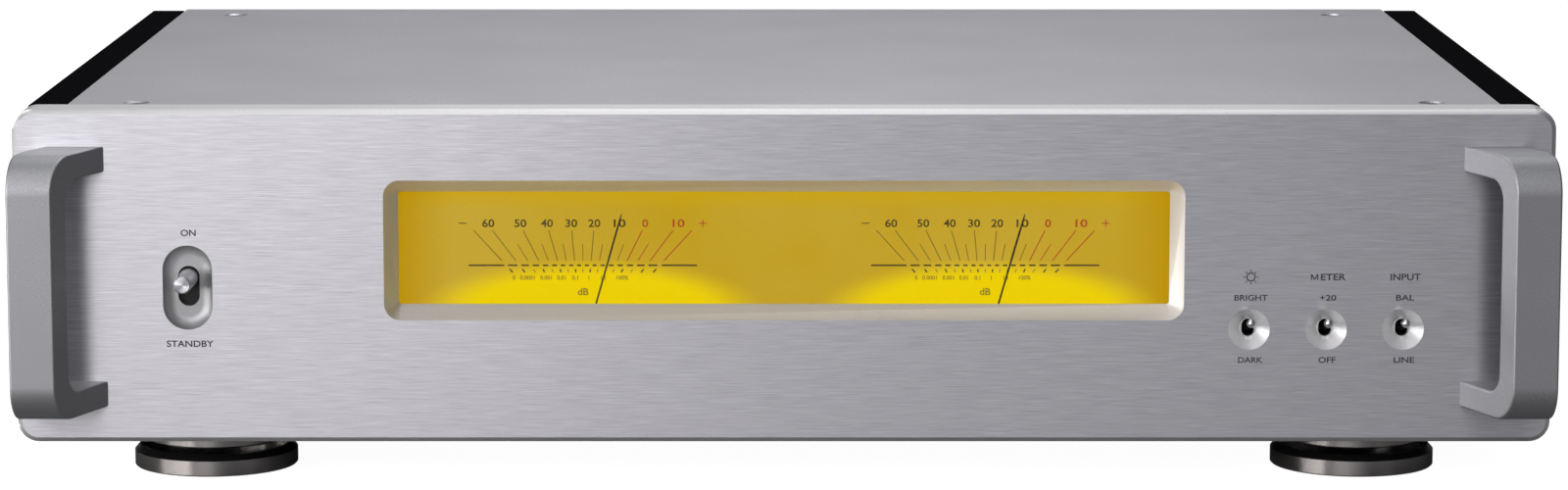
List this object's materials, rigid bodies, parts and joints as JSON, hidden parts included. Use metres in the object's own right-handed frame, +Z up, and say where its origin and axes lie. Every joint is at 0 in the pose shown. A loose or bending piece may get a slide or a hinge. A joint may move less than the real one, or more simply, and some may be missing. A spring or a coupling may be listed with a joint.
{
  "type": "power amplifier",
  "caption": "Stereo power amplifier with a thick front panel, lit level meters, machined handles and side heat sinks.",
  "frame": {"origin": "middle of the whole amplifier's footprint, on the surface that its feet stand on", "axes": "+X to the right as seen from the front, +Y from the front panel to the rear, +Z up"},
  "size_m": [0.444, 0.348, 0.111],
  "materials": {
    "panel_aluminium": "brushed along its length, clear anodised",
    "handle_aluminium": "fine bead blast, clear anodised",
    "cover_aluminium": "fine bead blast, grey anodised",
    "heatsink_black": "black anodised, matt",
    "chassis_black": "fine-texture black powder coat",
    "inner_steel": "zinc plated",
    "screw_steel": "plated",
    "window_acrylic": "clear, polished",
    "dial_gold": "printed dial, lit from its lower edge",
    "lamp_white": "lamp strip",
    "needle_black": "matt black",
    "movement_grey": "moulded",
    "switch_black": "moulded, fine texture",
    "lever_metal": "turned",
    "toggle_chrome": "polished",
    "foot_nickel": "polished dark nickel",
    "foot_black": "black anodised",
    "washer_rubber": "matt",
    "winding_tape": "wound tape, varnished",
    "capacitor_sleeve": "shrunk sleeve",
    "board_green": "solder mask",
    "socket_nickel": "satin nickel",
    "latch_metal": "pressed",
    "contact_gold": "gold plated",
    "cap_gold": "gold plated, fluted",
    "lead_sleeve": "smooth sleeve"
  },
  "bodies": {
    "chassis": {"front_panel": "panel_aluminium", "handle_left": "handle_aluminium", "handle_right": "handle_aluminium", "top_cover": "cover_aluminium", "heatsink_left": "heatsink_black", "heatsink_right": "heatsink_black", "bottom_plate": "chassis_black", "rear_panel": "chassis_black", "front_subpanel": "inner_steel", "cover_rails": "inner_steel", "transformer_clamp": "inner_steel", "handle_bolts": "screw_steel", "cover_screws": "screw_steel", "bottom_screws": "screw_steel", "rear_screws": "screw_steel", "foot_bolts": "screw_steel", "transformer_bolt": "screw_steel", "window_pane": "window_acrylic", "meter_dial": "dial_gold", "meter_lamps": "lamp_white", "meter_movement_left": "movement_grey", "meter_movement_right": "movement_grey", "power_switch_body": "switch_black", "toggle_bodies": "switch_black", "bridge_rectifier": "switch_black", "output_transistors": "switch_black", "mains_inlet": "switch_black", "trigger_sockets": "switch_black", "foot_dish_left": "foot_nickel", "foot_dish_right": "foot_nickel", "foot_dish_rear": "foot_nickel", "foot_spike_left": "foot_nickel", "foot_spike_right": "foot_nickel", "foot_spike_rear": "foot_nickel", "foot_rings": "foot_black", "transformer_pad": "washer_rubber", "transformer_windings": "winding_tape", "supply_capacitors": "capacitor_sleeve", "supply_board": "board_green", "amplifier_board_left": "board_green", "amplifier_board_right": "board_green", "input_board": "board_green", "front_switch_board": "board_green", "balanced_inputs": "socket_nickel", "line_inputs": "contact_gold", "speaker_posts": "contact_gold", "inlet_pins": "contact_gold", "mains_lead": "lead_sleeve"},
    "power_lever": {"power_lever": "lever_metal"},
    "brightness_lever": {"brightness_lever": "toggle_chrome"},
    "meter_lever": {"meter_lever": "toggle_chrome"},
    "input_lever": {"input_lever": "toggle_chrome"},
    "needle_left": {"needle_left": "needle_black"},
    "needle_right": {"needle_right": "needle_black"},
    "input_latch_left": {"input_latch_left": "latch_metal"},
    "input_latch_right": {"input_latch_right": "latch_metal"},
    "speaker_cap_right_plus": {"speaker_cap_right_plus": "cap_gold"},
    "speaker_cap_right_minus": {"speaker_cap_right_minus": "cap_gold"},
    "speaker_cap_left_minus": {"speaker_cap_left_minus": "cap_gold"},
    "speaker_cap_left_plus": {"speaker_cap_left_plus": "cap_gold"}
  },
  "joints": [
    {"name": "power_slide", "type": "slide", "parent": "chassis", "child": "power_lever", "axis": [0, 0, 1], "range_m": [-0.005, 0]},
    {"name": "brightness_toggle", "type": "hinge", "parent": "chassis", "child": "brightness_lever", "pos_m": [0.1343, -0.1344, 0.0471], "axis": [1, 0, 0], "range_deg": [0, 20]},
    {"name": "meter_toggle", "type": "hinge", "parent": "chassis", "child": "meter_lever", "pos_m": [0.15655, -0.1344, 0.0471], "axis": [1, 0, 0], "range_deg": [0, 20]},
    {"name": "input_toggle", "type": "hinge", "parent": "chassis", "child": "input_lever", "pos_m": [0.1788, -0.1344, 0.0471], "axis": [1, 0, 0], "range_deg": [0, 20]},
    {"name": "needle_left_swing", "type": "hinge", "parent": "chassis", "child": "needle_left", "pos_m": [-0.0585, -0.134, 0.0396], "axis": [0, 1, 0], "range_deg": [-60, 28]},
    {"name": "needle_right_swing", "type": "hinge", "parent": "chassis", "child": "needle_right", "pos_m": [0.0585, -0.134, 0.0396], "axis": [0, 1, 0], "range_deg": [-60, 28]},
    {"name": "latch_left_push", "type": "slide", "parent": "chassis", "child": "input_latch_left", "axis": [0, -1, 0], "range_m": [0, 0.0012], "stiffness_N_per_m": 400},
    {"name": "latch_right_push", "type": "slide", "parent": "chassis", "child": "input_latch_right", "axis": [0, -1, 0], "range_m": [0, 0.0012], "stiffness_N_per_m": 400},
    {"name": "cap_right_plus_turn", "type": "hinge", "parent": "chassis", "child": "speaker_cap_right_plus", "pos_m": [0.04, 0.166, 0.048], "axis": [0, 1, 0], "range_deg": [0, 720]},
    {"name": "cap_right_minus_turn", "type": "hinge", "parent": "chassis", "child": "speaker_cap_right_minus", "pos_m": [0.01, 0.166, 0.048], "axis": [0, 1, 0], "range_deg": [0, 720]},
    {"name": "cap_left_minus_turn", "type": "hinge", "parent": "chassis", "child": "speaker_cap_left_minus", "pos_m": [-0.03, 0.166, 0.048], "axis": [0, 1, 0], "range_deg": [0, 720]},
    {"name": "cap_left_plus_turn", "type": "hinge", "parent": "chassis", "child": "speaker_cap_left_plus", "pos_m": [-0.06, 0.166, 0.048], "axis": [0, 1, 0], "range_deg": [0, 720]}
  ]
}
